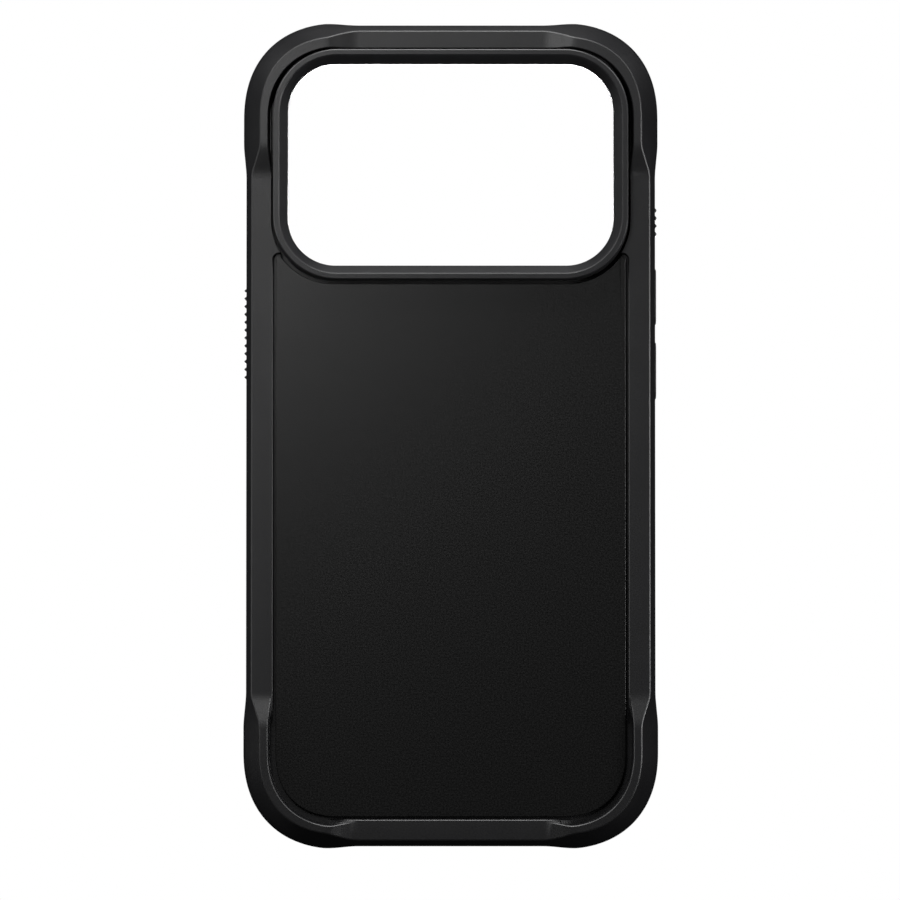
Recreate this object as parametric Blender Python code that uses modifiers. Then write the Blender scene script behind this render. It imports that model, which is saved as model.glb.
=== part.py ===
"""Rugged phone case: soft bumper frame, hard inner shell, back plate, camera ring, magnets and buttons.

The case lies face down with its back up. +Z points out of the back, +Y towards the camera end and +X to
the right as seen from behind. The origin is the middle of the outline, on the plane of the front lip.
Every length below is in millimetres and every object is built in metres.
"""
import math
from collections import namedtuple

import bmesh
import bpy
from mathutils import Matrix, Vector

MM = 0.001
ASSEMBLY_NAME = "rugged_phone_case"

# The phone that the case holds, and the cavity round it
SCREEN_PLANE_Z = 1.2
PHONE_BACK_Z = 9.95
CAVITY_HALF_X = 36.05
CAVITY_HALF_Y = 75.1

# All the corners of the frame and the shell are superellipse arcs about these four points
CORNER_CENTRE_X = 20.58
CORNER_CENTRE_Y = 59.38
CORNER_STEPS = 10
INNER_EXPONENT = 2.35

# Outside of the bumper: straight stretches, and the thicker corners that the stretches ramp up to
SIDE_HALF_X = 38.5
END_HALF_Y = 77.3
CORNER_HALF_X = 39.05
CORNER_HALF_Y = 77.9
OUTER_EXPONENT = 2.31
SIDE_RAMP = (48.4, 55.0)
END_RAMP = (17.2, 24.4)

# Section of the bumper: front edge, wall, shoulder, rail on its back and flange under the panel
FRONT_EDGE = ((0.9, 1.15, 0.0, 0.0), (0.25, 0.35, 0.35, 0.4), (0.0, 0.0, 1.1, 1.4))
LIP_REACH = 1.45
LIP_CHAMFER = 0.3
LIP_EDGE_Z = 0.4
WALL_TOP_Z = 10.9
CORNER_WALL_TOP_Z = 9.3
SHOULDER_BEND = 1.08
SHOULDER_STEPS = 2
RAIL_OUTER = (37.45, 76.05)
CORNER_RAIL_OUTER = (35.85, 74.85)
RAIL_OUTER_EXPONENT = 2.3
RAIL_Z = 12.9
CORNER_RAIL_Z = 14.1
RAIL_INNER = (33.75, 72.7)
# Rail's inner edge through the corners, at the lower and at the camera end: half widths and exponent
CORNER_RAIL_INNER = {-1: (34.35, 73.5, 2.26), 1: (34.35, 73.0, 2.2)}
RAIL_WALL_DRAFT = 0.2
CORNER_FLOOR_Z = 11.8
FLANGE_INNER = (31.9, 70.9)
FLANGE_EXPONENT = 2.26
FLANGE_BASE_Z = 11.5
PANEL_POCKET_Z = 11.7
RING_POCKET_Z = 10.9
BUMPER_INNER = (37.2, 76.25)

# Inner shell
SHELL_HALF_X = 37.05
SHELL_HALF_Y = 76.1
SHELL_FRONT_Z = 1.45
SHELL_PLATE_Z = 10.5
SHELL_BACK_Z = 11.3
PAD_HALF_X = 31.2
PAD_LOW_Y = -70.2
PAD_HIGH_Y = 28.0
PAD_TOP_CORNER = 2.0
PAD_Z = 11.7
SHELL_SLOT_SCALE = 0.97

# Back panel, its pocket in the bumper, and the sheets under it
PANEL_HALF_X = 32.88
PANEL_LOW_Y = -71.7
PANEL_HIGH_Y = 33.6
PANEL_CORNER = 12.0
PANEL_TOP_CORNER = 0.9
PANEL_EXPONENT = 2.3
PANEL_GROOVE = 0.57
PANEL_BACK_Z = 11.9
PANEL_FACE_Z = 12.6
PANEL_EDGE_BEVEL = 0.12
ADHESIVE_Z = (11.75, 11.85)
ADHESIVE_INSET = 0.6
LINING_Z = (10.1, 10.35)
LINING_INSET = 0.9
LINING_WINDOW_MARGIN = 0.7

# Camera ring: outer edge of its land, and offsets from that edge
RING_HALF_X = 33.31
RING_HALF_Y = 21.6
RING_CENTRE_Y = 50.82
RING_CORNER = 11.2
RING_LAND_CORNER = 12.0
RING_WINDOW_CORNER = 9.0
RING_TOP_Z = 14.9
RING_BASE_Z = 11.65
RING_SKIRT_Z = 10.2
RING_BASE_OFFSET = 0.12
RING_LAND_INNER_OFFSET = -1.06
RING_WINDOW_OFFSET = -2.63
RING_SKIRT_OFFSET = -1.6
RING_BEVEL_FOOT_Z = 12.6
RING_EDGE_BREAK = 0.15
RING_ADHESIVE_Z = (11.4, 11.55)
RING_ADHESIVE_OFFSETS = (0.1, -1.2)
RING_WINDOW_CLEARANCE = 0.3
RING_POCKET_OFFSET = 0.38
PANEL_RING_OFFSET = 0.8

# Magnets
MAGNET_RING_Y = -6.0
MAGNET_RING_OUTER = 27.0
MAGNET_RING_INNER = 23.0
MAGNET_COUNT = 18
MAGNET_GAP_DEGREES = 1.2
MAGNET_Z = (11.15, 11.65)
MAGNET_FILM_Z = (11.0, 11.1)
MAGNET_POCKET_Z = 10.95
MAGNET_CLEARANCE = 0.3
RING_STEPS = 48
BAR_LENGTH = 17.0
BAR_WIDTH = 5.0
BAR_CENTRE_Y = MAGNET_RING_Y - 42.0

# Buttons: side (+1 or -1 in X), centre Y, length along Y and outermost X of each cap
Button = namedtuple("Button", "name side centre_y length tip_x ribbed")
BUTTONS = (
    Button("power_button", -1, 19.26, 17.4, 39.05, True),
    Button("action_button", 1, 40.45, 6.05, 38.98, True),
    Button("volume_up", 1, 26.3, 10.8, 38.85, False),
    Button("volume_down", 1, 12.3, 11.0, 38.85, False),
)
BUTTON_Z = 5.6
CAP_HEIGHT = 3.6
CAP_FLANGE_X = (37.2, 37.6)
CAP_FLANGE_MARGIN = 0.7
CAP_EDGE_BEVEL = 0.2
CAP_STEM_BACK_X = CAP_FLANGE_X[1] - 0.1
CAP_STEM_TRIM_X = CAP_STEM_BACK_X - 0.05
FLANGE_POCKET_X = (37.0, 37.8)
SHELL_RECESS_X = 36.75
SLOT_CLEARANCE = 0.25
RIB_PITCH = 1.489
RIB_DEPTH = 0.5
# One tooth of a ribbed cap: place along the pitch and share of the rib's depth
RIB_SHAPE = ((-0.5, 0.0), (-0.24, 0.85), (0.0, 1.0), (0.24, 0.85))
PAD_X = (36.35, 37.1)
PAD_LENGTH_RATIO = 0.62
PAD_HEIGHT = 2.2

# Openings through the walls
CAMERA_KEY_Y = -24.5
CAMERA_KEY_SIZE = (21.0, 4.8)
CAMERA_KEY_FLARE = 1.3
PORT_Z = 5.6
CABLE_SLOT_SIZE = (13.2, 7.0)
SPEAKER_SLOT_SIZE = (11.0, 3.2)
SPEAKER_SLOT_X = 16.2
PORT_FLARE = 0.5
FLARE_DEPTH = 0.4

# The four quarters of the plan, anticlockwise: sign of X and sign of Y
QUARTERS = ((1, -1), (1, 1), (-1, 1), (-1, -1))

# How far a cutter runs past the surface that it opens
OVERCUT = 1.0

# One ridge line of the bumper. Half widths on the straights, half widths through the corners, heights.
Ridge = namedtuple("Ridge", "side end corner_x corner_y exponent z corner_z")


def collection(name):
    """Make a collection in the scene."""
    group = bpy.data.collections.new(name)
    bpy.context.scene.collection.children.link(group)
    return group


def principled(name, colour, roughness, metallic=0.0):
    """Make a plain Principled material."""
    material = bpy.data.materials.new(name)
    material.use_nodes = True
    shader = material.node_tree.nodes["Principled BSDF"]
    shader.inputs["Base Color"].default_value = (*colour, 1.0)
    shader.inputs["Roughness"].default_value = roughness
    shader.inputs["Metallic"].default_value = metallic
    material.diffuse_color = (*colour, 1.0)
    return material


def mix(low, high, weight):
    """Blend two numbers."""
    return low + (high - low) * weight


def ramp(value, start, end):
    """Run smoothly from 0 at start to 1 at end."""
    t = min(max((value - start) / (end - start), 0.0), 1.0)
    return t * t * (3.0 - 2.0 * t)


def superellipse(angle, length_x, length_y, exponent):
    """Point on a quarter superellipse."""
    power = 2.0 / exponent
    return length_x * max(math.cos(angle), 0.0) ** power, length_y * max(math.sin(angle), 0.0) ** power


def rounded_outline(half_x, low_y, high_y, low_corner, high_corner, exponent=2.0, steps=CORNER_STEPS):
    """Closed outline, anticlockwise, of a rectangle with superellipse corners."""
    points = []
    for side, end in QUARTERS:
        corner = high_corner if end > 0 else low_corner
        centre = Vector((side * (half_x - corner), (high_y if end > 0 else low_y) - end * corner))
        order = range(steps + 1) if side * end > 0 else range(steps, -1, -1)
        for i in order:
            along, across = superellipse(math.pi / 2.0 * i / steps, corner, corner, exponent)
            points.append(centre + Vector((side * along, end * across)))
    return points


def concentric_outline(half_x, half_y, exponent=INNER_EXPONENT, steps=CORNER_STEPS):
    """Outline whose corners turn about the four common corner points."""
    points = []
    for side, end in QUARTERS:
        order = range(steps + 1) if side * end > 0 else range(steps, -1, -1)
        for i in order:
            along, across = superellipse(math.pi / 2.0 * i / steps, half_x - CORNER_CENTRE_X,
                                         half_y - CORNER_CENTRE_Y, exponent)
            points.append(Vector((side * (CORNER_CENTRE_X + along), end * (CORNER_CENTRE_Y + across))))
    return points


def ring_outline(offset, corner=None):
    """Outline of the camera ring, moved outwards by offset, with its corner radius if not the common one."""
    half_x = RING_HALF_X + offset
    half_y = RING_HALF_Y + offset
    if corner is None:
        corner = RING_CORNER + offset
    return rounded_outline(half_x, RING_CENTRE_Y - half_y, RING_CENTRE_Y + half_y, corner, corner)


def panel_outline(offset):
    """Outline of the back panel, moved outwards by offset."""
    return rounded_outline(PANEL_HALF_X + offset, PANEL_LOW_Y - offset, PANEL_HIGH_Y + offset,
                           PANEL_CORNER + offset, PANEL_TOP_CORNER + offset, PANEL_EXPONENT)


def stadium(length, height, steps=6):
    """Long hole with round ends, about its own middle, its length first."""
    radius = height / 2.0
    reach = length / 2.0 - radius
    points = []
    for side in (1, -1):
        for i in range(steps + 1):
            angle = math.pi * (i / steps - 0.5)
            points.append(Vector((reach + radius * math.cos(angle), radius * math.sin(angle))) * side)
    return points


AXES = {
    "X": Matrix(((0, 0, 1), (1, 0, 0), (0, 1, 0))),
    "Y": Matrix(((1, 0, 0), (0, 0, -1), (0, 1, 0))),
    "Z": Matrix.Identity(3),
}


def prism(name, outline, axis, low, high, group, centre=(0.0, 0.0), flare=0.0):
    """Extrude a flat outline from low to high along an axis, as a mesh object.

    centre is where the outline's own zero goes, in the two coordinates across the axis. flare widens
    the end that lies further from the origin.
    """
    curve = bpy.data.curves.new(name, "CURVE")
    curve.dimensions = "2D"
    curve.fill_mode = "BOTH"
    curve.extrude = abs(high - low) / 2.0 * MM
    spline = curve.splines.new("POLY")
    spline.points.add(len(outline) - 1)
    for point, place in zip(spline.points, outline):
        point.co = (place[0] * MM, place[1] * MM, 0.0, 1.0)
    spline.use_cyclic_u = True
    guide = bpy.data.objects.new(name, curve)
    group.objects.link(guide)
    turn = AXES[axis]
    middle = turn @ Vector((centre[0], centre[1], 0.0))
    middle["XYZ".index(axis)] = (low + high) / 2.0
    guide.matrix_world = Matrix.Translation(middle * MM) @ turn.to_4x4()
    bpy.context.view_layer.update()
    evaluated = guide.evaluated_get(bpy.context.evaluated_depsgraph_get())
    mesh = bpy.data.meshes.new_from_object(evaluated)
    solid = bpy.data.objects.new(name, mesh)
    solid.matrix_world = guide.matrix_world.copy()
    bpy.data.objects.remove(guide)
    body = bmesh.new()
    body.from_mesh(mesh)
    bmesh.ops.remove_doubles(body, verts=body.verts, dist=0.00001)
    if flare:
        widen_outer_end(body, solid, axis, flare)
    bmesh.ops.recalc_face_normals(body, faces=body.faces)
    body.to_mesh(mesh)
    body.free()
    solid.name = name
    group.objects.link(solid)
    return solid


def widen_outer_end(body, solid, axis, flare):
    """Push the vertices of a prism's outer end away from its middle line."""
    index = "XYZ".index(axis)
    outward = math.copysign(1.0, solid.matrix_world.translation[index])
    spread = [max(abs(v.co.x) for v in body.verts), max(abs(v.co.y) for v in body.verts)]
    for vertex in body.verts:
        place = solid.matrix_world @ vertex.co
        if (place[index] - solid.matrix_world.translation[index]) * outward > 0.0:
            vertex.co.x *= 1.0 + flare * MM / spread[0]
            vertex.co.y *= 1.0 + flare * MM / spread[1]


def ring_loft(name, loops, group):
    """Join closed loops of points, in order and back to the first, into one ring-shaped solid."""
    body = bmesh.new()
    rows = [[body.verts.new(Vector(point) * MM) for point in loop] for loop in loops]
    for row, following in zip(rows, rows[1:] + rows[:1]):
        for i, corner in enumerate(row):
            j = (i + 1) % len(row)
            body.faces.new((corner, row[j], following[j], following[i]))
    bmesh.ops.triangulate(body, faces=body.faces)
    bmesh.ops.recalc_face_normals(body, faces=body.faces)
    mesh = bpy.data.meshes.new(name)
    body.to_mesh(mesh)
    body.free()
    solid = bpy.data.objects.new(name, mesh)
    group.objects.link(solid)
    return solid


def boolean(target, tool, operation):
    """Add an exact Boolean to a target."""
    modifier = target.modifiers.new(tool.name, "BOOLEAN")
    modifier.operation = operation
    modifier.object = tool
    modifier.solver = "EXACT"
    tool.hide_render = True
    tool.display_type = "WIRE"


def bevel(target, width, segments=2, angle=40.0):
    """Round a target's sharp edges."""
    modifier = target.modifiers.new("edges", "BEVEL")
    modifier.width = width * MM
    modifier.segments = segments
    modifier.limit_method = "ANGLE"
    modifier.angle_limit = math.radians(angle)


def finish(target, material):
    """Give a part its material and shade its round faces smooth."""
    target.data.materials.clear()
    target.data.materials.append(material)
    target.data.shade_smooth()
    target.data.set_sharp_from_angle(angle=math.radians(30.0))
    return target


# Bumper


def bumper_stations():
    """Stations from the middle of a side to the middle of an end, for one quarter of the frame."""
    start, end = SIDE_RAMP
    stations = [("side", 0.0)]
    stations += [("side", mix(start, end, i / 4.0)) for i in range(5)]
    stations += [("arc", math.pi / 2.0 * i / CORNER_STEPS) for i in range(CORNER_STEPS)]
    stations += [("arc", math.radians(angle)) for angle in (85.0, 88.0, 90.0)]
    stations += [("end", mix(CORNER_CENTRE_X, END_RAMP[0], i / 2.0)) for i in (1, 2)]
    return stations + [("end", 0.0)]


def ridge_point(ridge, station):
    """Place of a ridge line at a station, in the quarter where x and y are positive."""
    kind, value = station
    if kind == "side":
        weight = ramp(value, *SIDE_RAMP)
        return mix(ridge.side, ridge.corner_x, weight), value, mix(ridge.z, ridge.corner_z, weight)
    if kind == "end":
        weight = ramp(value, *END_RAMP)
        return value, mix(ridge.end, ridge.corner_y, weight), mix(ridge.z, ridge.corner_z, weight)
    outer_x = CORNER_CENTRE_X + superellipse(value, CORNER_HALF_X - CORNER_CENTRE_X, 1.0, OUTER_EXPONENT)[0]
    weight = ramp(outer_x, *END_RAMP)
    along, across = superellipse(value, ridge.corner_x - CORNER_CENTRE_X, ridge.corner_y - CORNER_CENTRE_Y,
                                 ridge.exponent)
    y = CORNER_CENTRE_Y + across
    lowered = y - ridge.corner_y + ridge.end
    return CORNER_CENTRE_X + along, mix(lowered, y, weight), mix(ridge.z, ridge.corner_z, weight)


def ridge_loop(lower, upper):
    """Closed loop of a ridge line, once round the frame, from its shapes at the lower and the camera end."""
    quarters = {end: [ridge_point(ridge, station) for station in bumper_stations()]
                for end, ridge in ((-1, lower), (1, upper))}
    points = []
    for side, end in ((1, 1), (-1, 1), (-1, -1), (1, -1)):
        run = quarters[end] if side * end > 0 else quarters[end][::-1]
        points += [(side * x, end * y, z) for x, y, z in run[:-1]]
    return points


def outer_ridge(inset, corner_inset, z, corner_z):
    """Ridge line that runs a set distance inside the bumper's outer faces."""
    return Ridge(SIDE_HALF_X - inset, END_HALF_Y - inset, CORNER_HALF_X - corner_inset,
                 CORNER_HALF_Y - corner_inset, OUTER_EXPONENT, z, corner_z)


def shoulder_ridge(t):
    """Ridge line on the shoulder, from the top of the wall at 0 to the outer edge of the rail at 1."""
    inward = t ** SHOULDER_BEND
    return Ridge(mix(SIDE_HALF_X, RAIL_OUTER[0], inward), mix(END_HALF_Y, RAIL_OUTER[1], inward),
                 mix(CORNER_HALF_X, CORNER_RAIL_OUTER[0], inward),
                 mix(CORNER_HALF_Y, CORNER_RAIL_OUTER[1], inward),
                 mix(OUTER_EXPONENT, RAIL_OUTER_EXPONENT, t),
                 mix(WALL_TOP_Z, RAIL_Z, t), mix(CORNER_WALL_TOP_Z, CORNER_RAIL_Z, t))


def bumper_ridges(end):
    """Ridge lines at one end of the bumper, in order round its section, from the lip out and over the rail."""
    lip = (CAVITY_HALF_X - LIP_REACH, CAVITY_HALF_Y - LIP_REACH)
    chamfer = (lip[0] + LIP_CHAMFER, lip[1] + LIP_CHAMFER)
    inner_x, inner_y, inner_exponent = CORNER_RAIL_INNER[end]
    ridges = [Ridge(*chamfer, *chamfer, INNER_EXPONENT, 0.0, 0.0)]
    ridges += [outer_ridge(*place) for place in FRONT_EDGE]
    ridges += [shoulder_ridge(i / SHOULDER_STEPS) for i in range(SHOULDER_STEPS + 1)]
    ridges += [
        Ridge(*RAIL_INNER, inner_x, inner_y, inner_exponent, RAIL_Z, CORNER_RAIL_Z),
        Ridge(RAIL_INNER[0] - RAIL_WALL_DRAFT, RAIL_INNER[1] - RAIL_WALL_DRAFT, inner_x - RAIL_WALL_DRAFT,
              inner_y - RAIL_WALL_DRAFT, inner_exponent, RAIL_Z, CORNER_FLOOR_Z),
        Ridge(*FLANGE_INNER, *FLANGE_INNER, FLANGE_EXPONENT, RAIL_Z, CORNER_FLOOR_Z),
        Ridge(*FLANGE_INNER, *FLANGE_INNER, FLANGE_EXPONENT, FLANGE_BASE_Z, FLANGE_BASE_Z),
        Ridge(*BUMPER_INNER, *BUMPER_INNER, INNER_EXPONENT, FLANGE_BASE_Z, FLANGE_BASE_Z),
        Ridge(*BUMPER_INNER, *BUMPER_INNER, INNER_EXPONENT, SCREEN_PLANE_Z, SCREEN_PLANE_Z),
        Ridge(*lip, *lip, INNER_EXPONENT, SCREEN_PLANE_Z, SCREEN_PLANE_Z),
        Ridge(*lip, *lip, INNER_EXPONENT, LIP_EDGE_Z, LIP_EDGE_Z),
    ]
    return ridges


def build_bumper(parts, cutters, material):
    """Soft frame with its lip, rail and raised corners, cut for the panel, the ring and the buttons."""
    ridges = zip(bumper_ridges(-1), bumper_ridges(1))
    bumper = ring_loft("bumper", [ridge_loop(lower, upper) for lower, upper in ridges], parts)
    above = RING_TOP_Z + OVERCUT
    pockets = [
        prism("cut_panel_pocket", panel_outline(PANEL_GROOVE), "Z", PANEL_POCKET_Z, above, cutters),
        prism("cut_ring_pocket", ring_outline(RING_POCKET_OFFSET), "Z", RING_POCKET_Z, above, cutters),
    ]
    for pocket in pockets:
        boolean(bumper, pocket, "DIFFERENCE")
    for button in BUTTONS:
        cut_button_slot(bumper, button, cutters)
    cut_wall_openings(bumper, cutters, "bumper", 1.0, CAMERA_KEY_FLARE, PORT_FLARE)
    return finish(bumper, material)


def side_prism(name, size, side, low, high, centre_y, centre_z, group, flare=0.0):
    """Round-ended block or cutter that runs along X, on one side of the case."""
    span = sorted((side * low, side * high))
    return prism(name, stadium(*size), "X", span[0], span[1], group, (centre_y, centre_z), flare)


def cut_button_slot(bumper, button, cutters):
    """Slot for a button's stem, and the wider pocket behind it for the flange."""
    stem = (button.length + 2.0 * SLOT_CLEARANCE, CAP_HEIGHT + 2.0 * SLOT_CLEARANCE)
    flange = (stem[0] + 2.0 * CAP_FLANGE_MARGIN, stem[1] + 2.0 * CAP_FLANGE_MARGIN)
    slot = side_prism("cut_slot_" + button.name, stem, button.side, FLANGE_POCKET_X[0],
                      CORNER_HALF_X + OVERCUT, button.centre_y, BUTTON_Z, cutters)
    pocket = side_prism("cut_pocket_" + button.name, flange, button.side, *FLANGE_POCKET_X,
                        button.centre_y, BUTTON_Z, cutters)
    boolean(bumper, slot, "DIFFERENCE")
    boolean(bumper, pocket, "DIFFERENCE")


def cut_wall_openings(target, cutters, label, scale, key_flare, port_flare):
    """Camera-key cut-out in the left wall, and cable and speaker slots in the bottom wall."""
    inner_x = CAVITY_HALF_X - LIP_REACH / 2.0
    inner_y = CAVITY_HALF_Y - LIP_REACH / 2.0
    outer_x = CORNER_HALF_X + FLARE_DEPTH
    outer_y = CORNER_HALF_Y + FLARE_DEPTH
    key_size = (CAMERA_KEY_SIZE[0] * scale, CAMERA_KEY_SIZE[1] * scale)
    key = side_prism("cut_camera_key_" + label, key_size, -1, inner_x, outer_x, CAMERA_KEY_Y, BUTTON_Z,
                     cutters, key_flare)
    boolean(target, key, "DIFFERENCE")
    slots = (("cable", 0.0, CABLE_SLOT_SIZE), ("speaker_left", -SPEAKER_SLOT_X, SPEAKER_SLOT_SIZE),
             ("speaker_right", SPEAKER_SLOT_X, SPEAKER_SLOT_SIZE))
    for name, x, size in slots:
        slot = prism("cut_" + name + "_" + label, stadium(*size), "Y", -outer_y, -inner_y, cutters,
                     (x, PORT_Z), port_flare)
        boolean(target, slot, "DIFFERENCE")


# Inner shell and the flat sheets


def build_shell(parts, cutters, material):
    """Hard tray with side walls, a raised pad under the panel and pockets for the magnets."""
    shell = prism("inner_shell", concentric_outline(SHELL_HALF_X, SHELL_HALF_Y), "Z",
                  SHELL_FRONT_Z, SHELL_BACK_Z, parts)
    pad_corner = PANEL_CORNER - (PANEL_HALF_X - PAD_HALF_X)
    pad_outline = rounded_outline(PAD_HALF_X, PAD_LOW_Y, PAD_HIGH_Y,
                                  pad_corner, PAD_TOP_CORNER, PANEL_EXPONENT)
    pad = prism("add_pad", pad_outline, "Z", mix(SHELL_PLATE_Z, SHELL_BACK_Z, 0.5), PAD_Z, cutters)
    boolean(shell, pad, "UNION")
    cavity = concentric_outline(CAVITY_HALF_X, CAVITY_HALF_Y)
    window = ring_outline(RING_SKIRT_OFFSET + RING_WINDOW_CLEARANCE)
    bar = stadium(BAR_LENGTH + 2.0 * MAGNET_CLEARANCE, BAR_WIDTH + 2.0 * MAGNET_CLEARANCE)
    tools = [
        prism("cut_cavity", cavity, "Z", SHELL_FRONT_Z - OVERCUT, SHELL_PLATE_Z, cutters),
        prism("cut_window", window, "Z", SHELL_PLATE_Z - OVERCUT, RING_TOP_Z, cutters),
        magnet_pocket(cutters),
        prism("cut_bar_pocket", bar, "Z", MAGNET_POCKET_Z, RING_TOP_Z, cutters, (0.0, BAR_CENTRE_Y)),
    ]
    for tool in tools:
        boolean(shell, tool, "DIFFERENCE")
    for button in BUTTONS:
        cut_shell_at_button(shell, button, cutters)
    cut_wall_openings(shell, cutters, "shell", SHELL_SLOT_SCALE, 0.0, 0.0)
    return finish(shell, material)


def magnet_pocket(cutters):
    """Ring-shaped cutter for the magnets, made by turning a rectangle once round."""
    inner = (MAGNET_RING_INNER - MAGNET_CLEARANCE) * MM
    outer = (MAGNET_RING_OUTER + MAGNET_CLEARANCE) * MM
    low = MAGNET_POCKET_Z * MM
    high = RING_TOP_Z * MM
    profile = bpy.data.meshes.new("cut_magnet_pocket")
    corners = [(outer, 0.0, high), (outer, 0.0, low), (inner, 0.0, low), (inner, 0.0, high)]
    profile.from_pydata(corners, [(0, 1), (1, 2), (2, 3), (3, 0)], [])
    cutter = bpy.data.objects.new("cut_magnet_pocket", profile)
    cutter.location.y = MAGNET_RING_Y * MM
    cutters.objects.link(cutter)
    turn = cutter.modifiers.new("turn", "SCREW")
    turn.steps = RING_STEPS
    turn.render_steps = RING_STEPS
    turn.use_merge_vertices = True
    turn.merge_threshold = 0.00001
    turn.use_smooth_shade = False
    return cutter


def cut_shell_at_button(shell, button, cutters):
    """Shallow recess for the flange's travel, and the hole that the plunger reaches through."""
    flange = (button.length + 2.0 * (SLOT_CLEARANCE + CAP_FLANGE_MARGIN),
              CAP_HEIGHT + 2.0 * (SLOT_CLEARANCE + CAP_FLANGE_MARGIN))
    plunger = (button.length * PAD_LENGTH_RATIO + 2.0 * SLOT_CLEARANCE, PAD_HEIGHT + 2.0 * SLOT_CLEARANCE)
    recess = side_prism("cut_recess_" + button.name, flange, button.side, SHELL_RECESS_X,
                        SHELL_HALF_X + OVERCUT, button.centre_y, BUTTON_Z, cutters)
    hole = side_prism("cut_hole_" + button.name, plunger, button.side, CAVITY_HALF_X - OVERCUT,
                      mix(SHELL_RECESS_X, SHELL_HALF_X, 0.5), button.centre_y, BUTTON_Z, cutters)
    boolean(shell, recess, "DIFFERENCE")
    boolean(shell, hole, "DIFFERENCE")


def build_panel(parts, cutters, material):
    """Flat back plate, cut round the camera ring."""
    panel = prism("back_panel", panel_outline(0.0), "Z", PANEL_BACK_Z, PANEL_FACE_Z, parts)
    cutter = prism("cut_panel_ring", ring_outline(PANEL_RING_OFFSET), "Z", PANEL_BACK_Z - OVERCUT,
                   RING_TOP_Z, cutters)
    boolean(panel, cutter, "DIFFERENCE")
    bevel(panel, PANEL_EDGE_BEVEL, 1, 60.0)
    return finish(panel, material)


def build_panel_adhesive(parts, material):
    """Bonding sheet between the shell's pad and the back panel."""
    corner = PANEL_CORNER - (PANEL_HALF_X - PAD_HALF_X) - ADHESIVE_INSET
    outline = rounded_outline(PAD_HALF_X - ADHESIVE_INSET, PAD_LOW_Y + ADHESIVE_INSET,
                              PAD_HIGH_Y - ADHESIVE_INSET, corner, PAD_TOP_CORNER - ADHESIVE_INSET,
                              PANEL_EXPONENT)
    return finish(prism("panel_adhesive", outline, "Z", *ADHESIVE_Z, parts), material)


def build_lining(parts, cutters, material):
    """Soft sheet on the inside of the shell, with the camera window cut out of it."""
    outline = concentric_outline(CAVITY_HALF_X - LINING_INSET, CAVITY_HALF_Y - LINING_INSET)
    lining = prism("microfibre_lining", outline, "Z", *LINING_Z, parts)
    window = ring_outline(RING_SKIRT_OFFSET + LINING_WINDOW_MARGIN)
    cutter = prism("cut_lining_window", window, "Z", LINING_Z[0] - OVERCUT, RING_TOP_Z, cutters)
    boolean(lining, cutter, "DIFFERENCE")
    return finish(lining, material)


# Camera ring


def build_camera_ring(parts, material):
    """Ring with a flat land, a bevel down to the window and a skirt through the shell."""
    base_corner = RING_CORNER + RING_BASE_OFFSET
    skirt_corner = RING_CORNER + RING_SKIRT_OFFSET
    edges = ((RING_BASE_OFFSET, base_corner, RING_BASE_Z),
             (RING_BASE_OFFSET, base_corner, RING_BEVEL_FOOT_Z),
             (0.0, RING_LAND_CORNER, RING_TOP_Z - RING_EDGE_BREAK),
             (-RING_EDGE_BREAK, RING_LAND_CORNER - RING_EDGE_BREAK, RING_TOP_Z),
             (RING_LAND_INNER_OFFSET, RING_LAND_CORNER + RING_LAND_INNER_OFFSET, RING_TOP_Z),
             (RING_WINDOW_OFFSET, RING_WINDOW_CORNER, RING_BEVEL_FOOT_Z),
             (RING_WINDOW_OFFSET, RING_WINDOW_CORNER, RING_SKIRT_Z),
             (RING_SKIRT_OFFSET, skirt_corner, RING_SKIRT_Z),
             (RING_SKIRT_OFFSET, skirt_corner, RING_BASE_Z))
    loops = [[(x, y, z) for x, y in ring_outline(offset, corner)] for offset, corner, z in edges]
    return finish(ring_loft("camera_ring", loops, parts), material)


def build_ring_adhesive(parts, material):
    """Flat gasket under the camera ring's base."""
    outer, inner = RING_ADHESIVE_OFFSETS
    low, high = RING_ADHESIVE_Z
    edges = ((outer, low), (outer, high), (inner, high), (inner, low))
    loops = [[(x, y, z) for x, y in ring_outline(offset)] for offset, z in edges]
    return finish(ring_loft("camera_ring_adhesive", loops, parts), material)


# Magnets


def sector(inner, outer, degrees, steps=3):
    """Outline of a piece of a flat ring, centred on +X."""
    angles = [math.radians(degrees * (i / steps - 0.5)) for i in range(steps + 1)]
    far = [Vector((outer * math.cos(a), outer * math.sin(a))) for a in angles]
    near = [Vector((inner * math.cos(a), inner * math.sin(a))) for a in reversed(angles)]
    return far + near


def build_magnets(parts, film_material, magnet_material):
    """Backing film, the ring of arc magnets and the alignment bar."""
    edges = [(MAGNET_RING_OUTER, MAGNET_FILM_Z[0]), (MAGNET_RING_OUTER, MAGNET_FILM_Z[1]),
             (MAGNET_RING_INNER, MAGNET_FILM_Z[1]), (MAGNET_RING_INNER, MAGNET_FILM_Z[0])]
    turns = [2.0 * math.pi * i / RING_STEPS for i in range(RING_STEPS)]
    loops = [[(r * math.cos(a), r * math.sin(a) + MAGNET_RING_Y, z) for a in turns] for r, z in edges]
    finish(ring_loft("magnet_film", loops, parts), film_material)
    pitch = 360.0 / MAGNET_COUNT
    outline = sector(MAGNET_RING_INNER, MAGNET_RING_OUTER, pitch - MAGNET_GAP_DEGREES)
    first = prism("ring_magnet_01", outline, "Z", *MAGNET_Z, parts, (0.0, MAGNET_RING_Y))
    finish(first, magnet_material)
    for i in range(1, MAGNET_COUNT):
        magnet = bpy.data.objects.new("ring_magnet_%02d" % (i + 1), first.data)
        magnet.matrix_world = first.matrix_world @ Matrix.Rotation(math.radians(pitch * i), 4, "Z")
        parts.objects.link(magnet)
    bar = prism("alignment_magnet", stadium(BAR_LENGTH, BAR_WIDTH), "Z", *MAGNET_Z,
                parts, (0.0, BAR_CENTRE_Y))
    finish(bar, magnet_material)


# Buttons


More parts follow.
